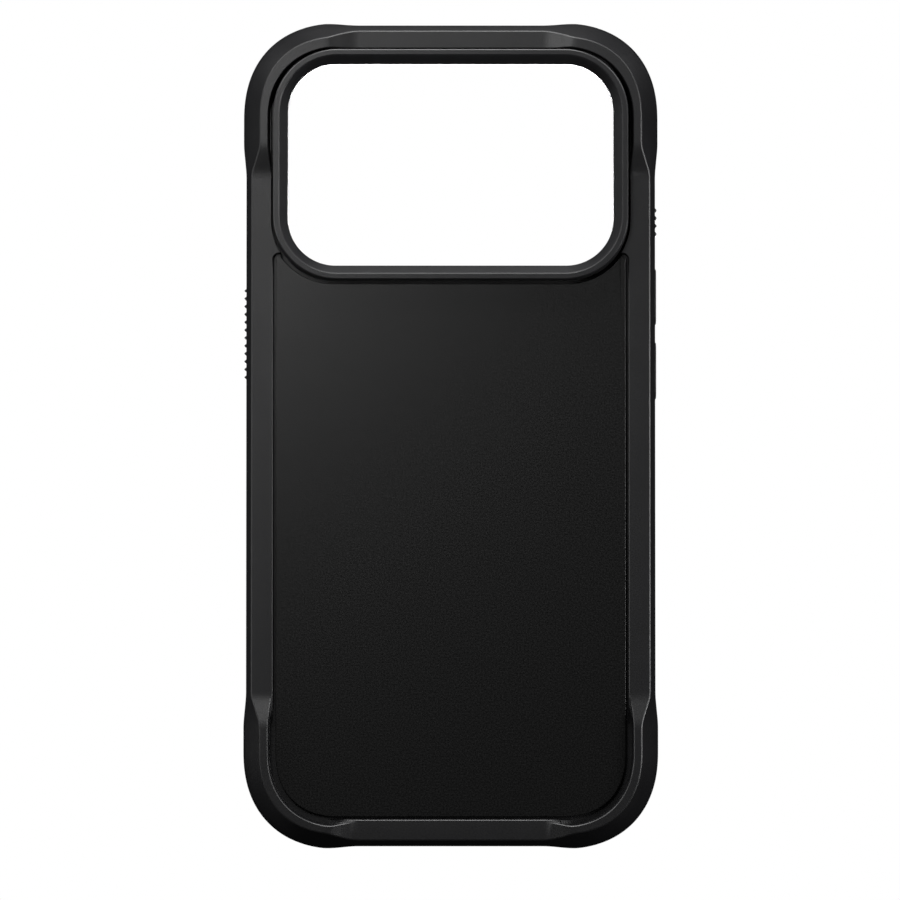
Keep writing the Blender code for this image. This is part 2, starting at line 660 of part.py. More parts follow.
def rib_outline(button):
    """Plan outline of a ribbed stem: flat at the back, rounded teeth along its outer edge."""
    root = button.tip_x - RIB_DEPTH
    half = button.length / 2.0
    count = round(button.length / RIB_PITCH)
    points = [Vector((CAP_STEM_BACK_X, -half)), Vector((root, -half))]
    for i in range(count):
        middle = (i - (count - 1) / 2.0) * RIB_PITCH
        for along, rise in RIB_SHAPE:
            points.append(Vector((root + RIB_DEPTH * rise, middle + along * RIB_PITCH)))
    points += [Vector((root, half)), Vector((CAP_STEM_BACK_X, half))]
    if button.side > 0:
        return points
    return [Vector((-x, y)) for x, y in reversed(points)]


def build_cap(button, parts, cutters, material):
    """Hard cap: a flange that sits behind the bumper's wall and a stem that passes through it."""
    flange_size = (button.length + 2.0 * CAP_FLANGE_MARGIN, CAP_HEIGHT + 2.0 * CAP_FLANGE_MARGIN)
    cap = side_prism(button.name + "_cap", flange_size, button.side, *CAP_FLANGE_X,
                     button.centre_y, BUTTON_Z, parts)
    stem_size = (button.length, CAP_HEIGHT)
    if button.ribbed:
        stem = prism("add_stem_" + button.name, rib_outline(button), "Z", BUTTON_Z - CAP_HEIGHT / 2.0,
                     BUTTON_Z + CAP_HEIGHT / 2.0, cutters, (0.0, button.centre_y))
        limit = side_prism("trim_stem_" + button.name, stem_size, button.side, CAP_STEM_TRIM_X,
                           button.tip_x + OVERCUT, button.centre_y, BUTTON_Z, cutters)
        boolean(stem, limit, "INTERSECT")
    else:
        stem = side_prism("add_stem_" + button.name, stem_size, button.side, CAP_STEM_BACK_X,
                          button.tip_x, button.centre_y, BUTTON_Z, cutters)
        bevel(stem, CAP_EDGE_BEVEL)
    boolean(cap, stem, "UNION")
    return finish(cap, material)


def build_button(button, parts, cutters, cap_material, pad_material):
    """Cap and plunger pad, both held by an empty on the button's line of travel."""
    cap = build_cap(button, parts, cutters, cap_material)
    pad_size = (button.length * PAD_LENGTH_RATIO, PAD_HEIGHT)
    pad = side_prism(button.name + "_pad", pad_size, button.side, *PAD_X, button.centre_y, BUTTON_Z, parts)
    finish(pad, pad_material)
    slide = bpy.data.objects.new(button.name + "_slide", None)
    slide.location = Vector((button.side * CAP_FLANGE_X[0], button.centre_y, BUTTON_Z)) * MM
    slide.empty_display_size = 0.004
    parts.objects.link(slide)
    bpy.context.view_layer.update()
    for piece in (cap, pad):
        piece.parent = slide
        piece.matrix_parent_inverse = slide.matrix_world.inverted()


def main():
    """Clear the scene and build the case."""
    for item in list(bpy.data.objects):
        bpy.data.objects.remove(item)
    parts = collection(ASSEMBLY_NAME)
    cutters = collection("cutters")
    soft = principled("soft_frame", (0.018, 0.018, 0.020), 0.55)
    hard = principled("hard_shell", (0.015, 0.015, 0.015), 0.5)
    panel = principled("back_panel", (0.014, 0.014, 0.014), 0.45)
    ring = principled("camera_ring", (0.022, 0.022, 0.024), 0.4, 0.6)
    button = principled("button_caps", (0.016, 0.016, 0.017), 0.45)
    pad = principled("button_pads", (0.03, 0.03, 0.03), 0.7)
    lining = principled("lining", (0.05, 0.05, 0.052), 0.95)
    sheet = principled("adhesive_sheet", (0.6, 0.6, 0.58), 0.6)
    magnet = principled("magnet", (0.55, 0.55, 0.57), 0.3, 1.0)
    build_bumper(parts, cutters, soft)
    build_shell(parts, cutters, hard)
    build_panel(parts, cutters, panel)
    build_panel_adhesive(parts, sheet)
    build_lining(parts, cutters, lining)
    build_camera_ring(parts, ring)
    build_ring_adhesive(parts, sheet)
    build_magnets(parts, sheet, magnet)
    for item in BUTTONS:
        build_button(item, parts, cutters, button, pad)


main()
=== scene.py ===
"""Looks for the rugged phone case: fine surfaces, materials, floor, lights and camera.

Lengths in the shape functions are millimetres, in the frame's own axes: +Z out of the back, +Y towards
the camera end, +X to the right from behind. Meshes are made in metres.
"""
import math
from collections import namedtuple

import bmesh
import bpy
from mathutils import Matrix, Vector


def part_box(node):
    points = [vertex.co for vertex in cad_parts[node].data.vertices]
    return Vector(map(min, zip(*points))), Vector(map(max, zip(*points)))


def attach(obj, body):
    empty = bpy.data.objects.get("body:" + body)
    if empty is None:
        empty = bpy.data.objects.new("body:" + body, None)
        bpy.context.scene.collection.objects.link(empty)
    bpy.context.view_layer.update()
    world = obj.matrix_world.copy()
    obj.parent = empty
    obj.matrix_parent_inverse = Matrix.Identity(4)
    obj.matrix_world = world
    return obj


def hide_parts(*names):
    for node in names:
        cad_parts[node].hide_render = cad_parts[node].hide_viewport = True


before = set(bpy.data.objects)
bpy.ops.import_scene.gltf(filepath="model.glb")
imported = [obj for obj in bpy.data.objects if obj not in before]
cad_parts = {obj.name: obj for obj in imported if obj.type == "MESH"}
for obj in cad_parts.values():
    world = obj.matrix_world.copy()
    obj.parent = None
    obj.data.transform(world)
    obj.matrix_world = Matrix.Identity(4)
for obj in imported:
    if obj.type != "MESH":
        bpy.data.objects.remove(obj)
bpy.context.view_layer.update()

MM = 0.001
FRAME_BODY = "case_frame"


def box_mm(node):
    """Lowest and highest corner of a CAD node, in millimetres."""
    low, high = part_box(node)
    return low / MM, high / MM


BUMPER_HIGH = box_mm("bumper")[1]
SHELL_HIGH = box_mm("inner_shell")[1]
PANEL_LOW, PANEL_HIGH = box_mm("back_panel")
RING_LOW, RING_HIGH = box_mm("camera_ring")

# Plan of the frame: superellipse corners about four common points
CORNER_CENTRE_X = 20.58
CORNER_CENTRE_Y = 59.38
CORNER_STEPS = 36
OUTER_EXPONENT = 2.31
INNER_EXPONENT = 2.35
SIDE_HALF_X = 38.5
END_HALF_Y = 77.3
CORNER_HALF_X = 39.05
CORNER_HALF_Y = 77.9
SIDE_RAMP = (48.2, 55.2)
END_RAMP = (17.2, 24.6)
RAMP_SOFTNESS = 0.28
# Stations: Y along a side, X along an end, how many on each ramp, and the closer ones from an angle, in
# degrees, where a corner runs out into the end's ramp
STRAIGHT_STATIONS = (0.0, 12.0, 24.0, 36.0)
END_STATIONS = (9.0, 0.0)
RAMP_STEPS = 12
CORNER_REACH = 82.0
CORNER_END_STEPS = 10
END_RAMP_STEPS = 5

# Section of the bumper. Front edge: inset on the straights and in the corners, then height on each
FRONT_EDGE = ((0.9, 1.15, 0.0, 0.0), (0.55, 0.7, 0.1, 0.12), (0.25, 0.35, 0.35, 0.4),
              (0.07, 0.1, 0.7, 0.85), (0.0, 0.0, 1.1, 1.4))
LIP_REACH = 1.45
LIP_CHAMFER = 0.3
LIP_EDGE_Z = 0.4
WALL_TOP_Z = 10.9
CORNER_WALL_TOP_Z = 9.3
SHOULDER_BEND = 1.08
SHOULDER_STEPS = 5
RAIL_OUTER = (37.45, 76.05)
CORNER_RAIL_OUTER = (35.85, 74.85)
RAIL_OUTER_EXPONENT = 2.3
RAIL_Z = 12.9
CORNER_RAIL_Z = BUMPER_HIGH.z
RAIL_INNER = (33.75, 72.7)
# Rail's inner edge through the corners, at the lower and at the camera end: half widths and exponent
CORNER_RAIL_INNER = {-1: (34.35, 73.5, 2.26), 1: (34.35, 73.0, 2.2)}
RAIL_WALL_DRAFT = 0.2
CORNER_FLOOR_Z = 11.8
FLANGE_INNER = (31.9, 70.9)
FLANGE_EXPONENT = 2.26
FLANGE_BASE_Z = 11.5
PANEL_POCKET_Z = 11.83
RING_POCKET_Z = 10.9
SCREEN_PLANE_Z = 1.2
WALL_GAP = 0.15
SHELL_WALL = 1.0
CAVITY_HALF_X = SHELL_HIGH.x - SHELL_WALL
CAVITY_HALF_Y = SHELL_HIGH.y - SHELL_WALL
BUMPER_INNER = (SHELL_HIGH.x + WALL_GAP, SHELL_HIGH.y + WALL_GAP)

# Broken edges: width, and the bend in degrees from which an edge counts as sharp
BUMPER_CHAMFER = (0.14, 30.0)
RING_CHAMFER = (0.15, 25.0)
PANEL_ROUNDING = 0.14
SMALL_PIECE_ROUNDING = 0.15
ROUNDED_ANGLE = 50.0
SMOOTH_BEND = 16.0
KEY_SMOOTH_BEND = 35.0
FLAT_WEIGHT = 80
WELD_DISTANCE = 0.004
COPLANAR_ANGLE = 0.1

# Camera ring, from the outer edge of its land
RING_BASE_OFFSET = 0.12
RING_HALF_X = RING_HIGH.x - RING_BASE_OFFSET
RING_HALF_Y = (RING_HIGH.y - RING_LOW.y) / 2.0 - RING_BASE_OFFSET
RING_CENTRE_Y = (RING_HIGH.y + RING_LOW.y) / 2.0
RING_CORNER = 11.2
RING_LAND_CORNER = 12.0
RING_WINDOW_CORNER = 9.0
RING_TOP_Z = RING_HIGH.z
RING_BEVEL_FOOT_Z = 12.6
RING_BASE_Z = 11.65
RING_LAND_INNER_OFFSET = -1.06
RING_WINDOW_OFFSET = -2.63
RING_SKIRT_OFFSET = -1.6
RING_POCKET_OFFSET = 0.38

# Back panel
PANEL_CORNER = 12.0
PANEL_TOP_CORNER = 0.7
PANEL_EXPONENT = 2.3
PANEL_GROOVE = 0.57
PANEL_RING_OFFSET = 0.8

# Buttons and openings
BUTTON_NAMES = ("power_button", "action_button", "volume_up", "volume_down")
# Width of a tooth on each ribbed key
RIBBED = {"power_button": 0.98, "action_button": 1.36}
RIB_PITCH = 1.489
TOOTH_DEPTH = 0.55
TOOTH_STEPS = 12
TOOTH_BEND = 1.5
TOOTH_ROOT = 0.06
TOOTH_END_GAP = 0.12
# Rise of a tooth along its height, from end to end
TOOTH_ENDS = ((-1.0, 0.15), (-0.93, 0.6), (-0.8, 0.9), (-0.6, 1.0),
              (0.6, 1.0), (0.8, 0.9), (0.93, 0.6), (1.0, 0.15))
KEY_RIM = 0.4
RIBBED_KEY_RIM = 0.2
KEY_RIM_STEPS = 6
KEY_END_STEPS = 18
SLOT_END_STEPS = 16
CAP_FLANGE_MARGIN = 0.7
CAP_FLANGE_THICKNESS = 0.4
CAP_FLANGE_EDGE = 0.1
SLOT_CLEARANCE = 0.25
# Reach of the flange's pocket behind and in front of the flange's back
POCKET_BACK = 0.2
POCKET_FRONT = 0.6
CUT_MARGIN = 2.0
PANEL_CUT_MARGIN = 1.0
CAMERA_KEY_Y = -24.5
CAMERA_KEY_SIZE = (21.0, 4.8)
CAMERA_KEY_FLARE = 1.3
PORT_Z = 5.6
CABLE_SLOT_SIZE = (13.2, 7.0)
SPEAKER_SLOT_SIZE = (11.0, 3.2)
SPEAKER_SLOT_X = 16.2
PORT_FLARE = 0.5
OPENING_OUTER_MARGIN = 0.4
OPENING_INNER_MARGIN = 0.3

# Materials: each grain's detail and roughness, the broad grain's scale beside the fine one's, and the
# upward share of the normal over which the painted shade on the walls gives way to the full specular
FINE_GRAIN = (3.0, 0.6)
BROAD_GRAIN = (4.0, 0.5)
BROAD_SCALE = 0.06
NOISE_SPAN = (0.3, 0.7)
TONE_SPREAD = 0.15
PAINTED_SHADE_FACING = (0.58, 0.68)

Ridge = namedtuple("Ridge", "side end corner_x corner_y exponent z corner_z")


# Shape helpers


def mix(low, high, weight):
    """Blend two numbers."""
    return low + (high - low) * weight


def ramp(value, start, end):
    """Run from 0 at start to 1 at end, straight in the middle and rounded at both ends."""
    t = min(max((value - start) / (end - start), 0.0), 1.0)
    slope = 1.0 / (1.0 - RAMP_SOFTNESS)
    if t < RAMP_SOFTNESS:
        return slope * t * t / (2.0 * RAMP_SOFTNESS)
    if t > 1.0 - RAMP_SOFTNESS:
        return 1.0 - slope * (1.0 - t) ** 2 / (2.0 * RAMP_SOFTNESS)
    return slope * (t - RAMP_SOFTNESS / 2.0)


def superellipse(angle, length_x, length_y, exponent):
    """Point on a quarter superellipse."""
    power = 2.0 / exponent
    return length_x * max(math.cos(angle), 0.0) ** power, length_y * max(math.sin(angle), 0.0) ** power


def rounded_outline(half_x, low_y, high_y, low_corner, high_corner, exponent=2.0):
    """Closed outline, anticlockwise, of a rectangle with superellipse corners."""
    points = []
    corners = ((1, -1, low_corner), (1, 1, high_corner), (-1, 1, high_corner), (-1, -1, low_corner))
    for side, end, corner in corners:
        centre = Vector((side * (half_x - corner), (high_y if end > 0 else low_y) - end * corner))
        order = range(CORNER_STEPS + 1) if side * end > 0 else range(CORNER_STEPS, -1, -1)
        for i in order:
            along, across = superellipse(math.pi / 2.0 * i / CORNER_STEPS, corner, corner, exponent)
            points.append(centre + Vector((side * along, end * across)))
    return points


def ring_outline(offset, corner=None):
    """Outline of the camera ring, moved outwards by offset, with a corner of its own if one is given."""
    half_x = RING_HALF_X + offset
    half_y = RING_HALF_Y + offset
    if corner is None:
        corner = RING_CORNER + offset
    return rounded_outline(half_x, RING_CENTRE_Y - half_y, RING_CENTRE_Y + half_y, corner, corner)


def panel_outline(offset):
    """Outline of the back panel, moved outwards by offset."""
    return rounded_outline(PANEL_HIGH.x + offset, PANEL_LOW.y - offset, PANEL_HIGH.y + offset,
                           PANEL_CORNER + offset, PANEL_TOP_CORNER + offset, PANEL_EXPONENT)


def stadium(length, height, steps=SLOT_END_STEPS):
    """Long hole with round ends, about its own middle, its length first."""
    radius = height / 2.0
    reach = length / 2.0 - radius
    points = []
    for side in (1, -1):
        for i in range(steps + 1):
            angle = math.pi * (i / steps - 0.5)
            along = reach + radius * math.cos(angle)
            points.append(Vector((side * along, side * radius * math.sin(angle))))
    return points


AXES = {
    "X": Matrix(((0, 0, 1), (1, 0, 0), (0, 1, 0))),
    "Y": Matrix(((1, 0, 0), (0, 0, -1), (0, 1, 0))),
    "Z": Matrix.Identity(3),
}


def link(name, body):
    """Make a mesh object from a finished bmesh."""
    bmesh.ops.recalc_face_normals(body, faces=body.faces)
    mesh = bpy.data.meshes.new(name)
    body.to_mesh(mesh)
    body.free()
    solid = bpy.data.objects.new(name, mesh)
    bpy.context.scene.collection.objects.link(solid)
    return solid


def prism(name, outline, axis, low, high, centre=(0.0, 0.0), flare=0.0):
    """Solid between two copies of a flat outline, from low to high along an axis."""
    turn = AXES[axis]
    spread = (max(abs(p[0]) for p in outline), max(abs(p[1]) for p in outline))
    body = bmesh.new()
    rings = []
    for level in (low, high):
        outer = abs(level) == max(abs(low), abs(high))
        grow = [1.0 + (flare if outer else 0.0) / s for s in spread]
        middle = turn @ Vector((centre[0], centre[1], 0.0))
        middle["XYZ".index(axis)] = level
        flat = [Vector((x * grow[0], y * grow[1], 0.0)) for x, y in outline]
        ring = [body.verts.new((middle + turn @ point) * MM) for point in flat]
        rings.append(ring)
        body.faces.new(ring)
    for i in range(len(outline)):
        j = (i + 1) % len(outline)
        body.faces.new((rings[0][i], rings[0][j], rings[1][j], rings[1][i]))
    return link(name, body)


def loft(name, loops):
    """Join closed loops of points, in order and back to the first, into one ring-shaped solid."""
    body = bmesh.new()
    rows = [[body.verts.new(Vector(point) * MM) for point in loop] for loop in loops]
    for row, following in zip(rows, rows[1:] + rows[:1]):
        for i, corner in enumerate(row):
            j = (i + 1) % len(row)
            body.faces.new((corner, row[j], following[j], following[i]))
    return link(name, body)


def cut(target, tool):
    """Cut a tool out of a target now, and remove the tool."""
    modifier = target.modifiers.new("cut", "BOOLEAN")
    modifier.operation = "DIFFERENCE"
    modifier.object = tool
    modifier.solver = "EXACT"
    apply_modifiers(target)
    bpy.data.objects.remove(tool)


def apply_modifiers(target):
    """Replace a mesh by its evaluated self."""
    bpy.context.view_layer.update()
    evaluated = target.evaluated_get(bpy.context.evaluated_depsgraph_get())
    mesh = bpy.data.meshes.new_from_object(evaluated)
    target.modifiers.clear()
    old = target.data
    target.data = mesh
    bpy.data.meshes.remove(old)


def tidy_mesh(target):
    """Weld near-touching vertices, join faces that lie in one plane and drop slivers."""
    body = bmesh.new()
    body.from_mesh(target.data)
    bmesh.ops.remove_doubles(body, verts=body.verts, dist=WELD_DISTANCE * MM)
    bmesh.ops.dissolve_limit(body, angle_limit=math.radians(COPLANAR_ANGLE), verts=body.verts,
                             edges=body.edges)
    bmesh.ops.dissolve_degenerate(body, edges=body.edges, dist=WELD_DISTANCE * MM)
    bmesh.ops.recalc_face_normals(body, faces=body.faces)
    body.to_mesh(target.data)
    body.free()


def chamfer_edges(target, width, angle):
    """Break every sharp edge with a narrow flat chamfer, and shade the shallow bends as smooth."""
    modifier = target.modifiers.new("chamfer", "BEVEL")
    modifier.width = width * MM
    modifier.segments = 1
    modifier.limit_method = "ANGLE"
    modifier.angle_limit = math.radians(angle)
    modifier.use_clamp_overlap = False
    apply_modifiers(target)
    shade_by_angle(target, SMOOTH_BEND)


def shade_by_angle(target, smooth_below):
    """Shade shallow bends as smooth and keep the rest sharp."""
    body = bmesh.new()
    body.from_mesh(target.data)
    for face in body.faces:
        face.smooth = True
    for edge in body.edges:
        edge.smooth = edge.calc_face_angle(math.pi) < math.radians(smooth_below)
    body.to_mesh(target.data)
    body.free()


def round_edges(target, width, segments, clamp):
    """Round every sharp edge, with clean flat faces between."""
    modifier = target.modifiers.new("round", "BEVEL")
    modifier.width = width * MM
    modifier.segments = segments
    modifier.limit_method = "ANGLE"
    modifier.angle_limit = math.radians(ROUNDED_ANGLE)
    modifier.use_clamp_overlap = clamp
    modifier.miter_outer = "MITER_ARC"
    for polygon in target.data.polygons:
        polygon.use_smooth = True
    weighted = target.modifiers.new("normals", "WEIGHTED_NORMAL")
    weighted.weight = FLAT_WEIGHT
    weighted.keep_sharp = True


def paint(target, material):
    """Give an object one material."""
    target.data.materials.clear()
    target.data.materials.append(material)


def dress(piece, body, material, node):
    """Give a piece its material and its body, and hide the CAD node that it replaces."""
    paint(piece, material)
    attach(piece, body)
    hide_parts(node)


# Materials


def noise(tree, place, scale, detail, roughness):
    """Noise texture on the object's own coordinates."""
    texture = tree.nodes.new("ShaderNodeTexNoise")
    texture.inputs["Scale"].default_value = scale
    texture.inputs["Detail"].default_value = detail
    texture.inputs["Roughness"].default_value = roughness
    tree.links.new(place.outputs["Object"], texture.inputs["Vector"])
    return texture.outputs["Fac"]


def stretch(tree, source, span, low, high):
    """Map a span of a source's values to run from low to high."""
    node = tree.nodes.new("ShaderNodeMapRange")
    node.inputs["From Min"].default_value, node.inputs["From Max"].default_value = span
    node.inputs["To Min"].default_value = low
    node.inputs["To Max"].default_value = high
    tree.links.new(source, node.inputs["Value"])
    return node.outputs["Result"]


def grained(name, colour, roughness, grain_mm, bump, specular=0.5, roughness_spread=0.05,
            shaded_wall_specular=None):
    """Material with fine grain in its bump and its gloss, and broad grain in its colour.

    With a specular level given for the walls, the walls get less specular than the faces that look up:
    painted shade that darkens the walls.
    """
    material = bpy.data.materials.new(name)
    material.use_nodes = True
    tree = material.node_tree
    nodes = tree.nodes
    links = tree.links
    shader = nodes["Principled BSDF"]
    shader.inputs["Specular IOR Level"].default_value = specular
    place = nodes.new("ShaderNodeTexCoord")
    fine = noise(tree, place, 1.0 / (grain_mm * MM), *FINE_GRAIN)
    broad = noise(tree, place, BROAD_SCALE / (grain_mm * MM), *BROAD_GRAIN)
    relief = nodes.new("ShaderNodeBump")
    relief.inputs["Strength"].default_value = 1.0
    relief.inputs["Distance"].default_value = bump * MM
    links.new(fine, relief.inputs["Height"])
    links.new(relief.outputs["Normal"], shader.inputs["Normal"])
    tint = nodes.new("ShaderNodeVectorMath")
    tint.operation = "SCALE"
    tint.inputs[0].default_value = colour
    tone = stretch(tree, broad, NOISE_SPAN, 1.0 - TONE_SPREAD, 1.0 + TONE_SPREAD)
    links.new(tone, tint.inputs["Scale"])
    links.new(tint.outputs["Vector"], shader.inputs["Base Color"])
    gloss = stretch(tree, fine, NOISE_SPAN, roughness - roughness_spread, roughness + roughness_spread)
    links.new(gloss, shader.inputs["Roughness"])
    # Painted shade: the specular level drops as the normal turns from straight up to the side, so the walls
    # read darker
    if shaded_wall_specular is not None:
        geometry = nodes.new("ShaderNodeNewGeometry")
        facing = nodes.new("ShaderNodeSeparateXYZ")
        links.new(geometry.outputs["Normal"], facing.inputs["Vector"])
        painted_shade_specular = stretch(tree, facing.outputs["Z"], PAINTED_SHADE_FACING, shaded_wall_specular, specular)
        links.new(painted_shade_specular, shader.inputs["Specular IOR Level"])
    return material


# Bumper


def bumper_stations():
    """Stations from the middle of a side to the middle of an end, for one quarter of the frame."""
    start, end = SIDE_RAMP
    stations = [("side", y) for y in STRAIGHT_STATIONS]
    stations += [("side", mix(start, end, i / RAMP_STEPS)) for i in range(RAMP_STEPS + 1)]
    stations += [("arc", math.radians(CORNER_REACH * i / CORNER_STEPS)) for i in range(CORNER_STEPS)]
    stations += [("arc", math.radians(mix(CORNER_REACH, 90.0, i / CORNER_END_STEPS)))
                 for i in range(CORNER_END_STEPS + 1)]
    stations += [("end", mix(CORNER_CENTRE_X, END_RAMP[0], i / END_RAMP_STEPS))
                 for i in range(1, END_RAMP_STEPS + 1)]
    return stations + [("end", x) for x in END_STATIONS]


def ridge_point(ridge, station):
    """Place of a ridge line at a station, in the quarter where x and y are positive."""
    kind, value = station
    if kind == "side":
        weight = ramp(value, *SIDE_RAMP)
        return mix(ridge.side, ridge.corner_x, weight), value, mix(ridge.z, ridge.corner_z, weight)
    if kind == "end":
        weight = ramp(value, *END_RAMP)
        return value, mix(ridge.end, ridge.corner_y, weight), mix(ridge.z, ridge.corner_z, weight)
    outer_x = CORNER_CENTRE_X + superellipse(value, CORNER_HALF_X - CORNER_CENTRE_X, 1.0, OUTER_EXPONENT)[0]
    weight = ramp(outer_x, *END_RAMP)
    along, across = superellipse(value, ridge.corner_x - CORNER_CENTRE_X, ridge.corner_y - CORNER_CENTRE_Y,
                                 ridge.exponent)
    y = CORNER_CENTRE_Y + across
    lowered = y - ridge.corner_y + ridge.end
    return CORNER_CENTRE_X + along, mix(lowered, y, weight), mix(ridge.z, ridge.corner_z, weight)


def ridge_loop(lower, upper):
    """Closed loop of a ridge line round the frame, from its shapes at the lower and the camera end."""
    quarters = {end: [ridge_point(ridge, station) for station in bumper_stations()]
                for end, ridge in ((-1, lower), (1, upper))}
    points = []
    for side, end in ((1, 1), (-1, 1), (-1, -1), (1, -1)):
        run = quarters[end] if side * end > 0 else quarters[end][::-1]
        points += [(side * x, end * y, z) for x, y, z in run[:-1]]
    return points


def outer_ridge(inset, corner_inset, z, corner_z):
    """Ridge line that runs a set distance inside the bumper's outer faces."""
    return Ridge(SIDE_HALF_X - inset, END_HALF_Y - inset, CORNER_HALF_X - corner_inset,
                 CORNER_HALF_Y - corner_inset, OUTER_EXPONENT, z, corner_z)


def shoulder_ridge(t):
    """Ridge line on the shoulder, from the top of the wall at 0 to the outer edge of the rail at 1."""
    inward = t ** SHOULDER_BEND
    return Ridge(mix(SIDE_HALF_X, RAIL_OUTER[0], inward), mix(END_HALF_Y, RAIL_OUTER[1], inward),
                 mix(CORNER_HALF_X, CORNER_RAIL_OUTER[0], inward),
                 mix(CORNER_HALF_Y, CORNER_RAIL_OUTER[1], inward),
                 mix(OUTER_EXPONENT, RAIL_OUTER_EXPONENT, t),
                 mix(WALL_TOP_Z, RAIL_Z, t), mix(CORNER_WALL_TOP_Z, CORNER_RAIL_Z, t))


def bumper_ridges(end):
    """Ridge lines at one end of the bumper, in order round its section: from the lip out, over the rail."""
    lip = (CAVITY_HALF_X - LIP_REACH, CAVITY_HALF_Y - LIP_REACH)
    chamfer = (lip[0] + LIP_CHAMFER, lip[1] + LIP_CHAMFER)
    inner_x, inner_y, inner_exponent = CORNER_RAIL_INNER[end]
    ridges = [Ridge(*chamfer, *chamfer, INNER_EXPONENT, 0.0, 0.0)]
    ridges += [outer_ridge(*place) for place in FRONT_EDGE]
    ridges += [shoulder_ridge(i / SHOULDER_STEPS) for i in range(SHOULDER_STEPS + 1)]
    ridges += [
        Ridge(*RAIL_INNER, inner_x, inner_y, inner_exponent, RAIL_Z, CORNER_RAIL_Z),
        Ridge(RAIL_INNER[0] - RAIL_WALL_DRAFT, RAIL_INNER[1] - RAIL_WALL_DRAFT, inner_x - RAIL_WALL_DRAFT,
              inner_y - RAIL_WALL_DRAFT, inner_exponent, RAIL_Z, CORNER_FLOOR_Z),
        Ridge(*FLANGE_INNER, *FLANGE_INNER, FLANGE_EXPONENT, RAIL_Z, CORNER_FLOOR_Z),
        Ridge(*FLANGE_INNER, *FLANGE_INNER, FLANGE_EXPONENT, FLANGE_BASE_Z, FLANGE_BASE_Z),
        Ridge(*BUMPER_INNER, *BUMPER_INNER, INNER_EXPONENT, FLANGE_BASE_Z, FLANGE_BASE_Z),
        Ridge(*BUMPER_INNER, *BUMPER_INNER, INNER_EXPONENT, SCREEN_PLANE_Z, SCREEN_PLANE_Z),
        Ridge(*lip, *lip, INNER_EXPONENT, SCREEN_PLANE_Z, SCREEN_PLANE_Z),
        Ridge(*lip, *lip, INNER_EXPONENT, LIP_EDGE_Z, LIP_EDGE_Z),
    ]
    return ridges


def side_prism(name, size, side, low, high, centre_y, centre_z, flare=0.0):
    """Round-ended block or cutter that runs along X, on one side of the case."""
    span = sorted((side * low, side * high))
    return prism(name, stadium(*size), "X", span[0], span[1], (centre_y, centre_z), flare)


def button_box(name):
    """Side, middle Y, middle Z, stem length, stem height, flange's inner X and tip X of a button's cap."""
    low, high = box_mm(name + "_cap")
    side = 1 if high.x > 0.0 else -1
    inner, tip = (low.x, high.x) if side > 0 else (-high.x, -low.x)
    length = high.y - low.y - 2.0 * CAP_FLANGE_MARGIN
    height = high.z - low.z - 2.0 * CAP_FLANGE_MARGIN
    return side, (low.y + high.y) / 2.0, (low.z + high.z) / 2.0, length, height, inner, tip


def cut_button_slot(target, name):
    """Slot for a button's stem, and the wider pocket behind it for the flange."""
    side, y, z, length, height, inner, tip = button_box(name)
    stem = (length + 2.0 * SLOT_CLEARANCE, height + 2.0 * SLOT_CLEARANCE)
    flange = (stem[0] + 2.0 * CAP_FLANGE_MARGIN, stem[1] + 2.0 * CAP_FLANGE_MARGIN)
    cut(target, side_prism("slot", stem, side, inner - POCKET_BACK, tip + CUT_MARGIN, y, z))
    cut(target, side_prism("pocket", flange, side, inner - POCKET_BACK, inner + POCKET_FRONT, y, z))


def cut_wall_openings(target):
    """Camera-key cut-out in the left wall, and cable and speaker slots in the bottom wall."""
    inner_x, inner_y = (inner - OPENING_INNER_MARGIN for inner in BUMPER_INNER)
    outer_x = CORNER_HALF_X + OPENING_OUTER_MARGIN
    outer_y = CORNER_HALF_Y + OPENING_OUTER_MARGIN
    cut(target, side_prism("key", CAMERA_KEY_SIZE, -1, inner_x, outer_x, CAMERA_KEY_Y, PORT_Z,
                           CAMERA_KEY_FLARE))
    for x, size in ((0.0, CABLE_SLOT_SIZE), (-SPEAKER_SLOT_X, SPEAKER_SLOT_SIZE),
                    (SPEAKER_SLOT_X, SPEAKER_SLOT_SIZE)):
        cut(target, prism("port", stadium(*size), "Y", -outer_y, -inner_y, (x, PORT_Z), PORT_FLARE))


def make_bumper(material):
    """Soft frame with its lip, rail and raised corners, cut for the panel, the ring and the buttons."""
    ridges = zip(bumper_ridges(-1), bumper_ridges(1))
    bumper = loft("bumper_frame", [ridge_loop(lower, upper) for lower, upper in ridges])
    above = RING_TOP_Z + CUT_MARGIN
    cut(bumper, prism("panel_pocket", panel_outline(PANEL_GROOVE), "Z", PANEL_POCKET_Z, above))
    cut(bumper, prism("ring_pocket", ring_outline(RING_POCKET_OFFSET), "Z", RING_POCKET_Z, above))
    for name in BUTTON_NAMES:
        cut_button_slot(bumper, name)
    cut_wall_openings(bumper)
    tidy_mesh(bumper)
    chamfer_edges(bumper, *BUMPER_CHAMFER)
    dress(bumper, FRAME_BODY, material, "bumper")


# Buttons


def stacked_solid(name, side, y, z, sections):
    """Solid of round-ended sections stacked along X. Each section has its X, its length and its height."""
    body = bmesh.new()
    rows = []
    for x, length, height in sections:
        outline = stadium(length, height, KEY_END_STEPS)
        rows.append([body.verts.new(Vector((side * x, y + p.x, z + p.y)) * MM) for p in outline])
    for row, following in zip(rows, rows[1:]):
        for i in range(len(row)):
            j = (i + 1) % len(row)
            body.faces.new((row[i], row[j], following[j], following[i]))
    body.faces.new(rows[0])
    body.faces.new(rows[-1])
    return link(name, body)


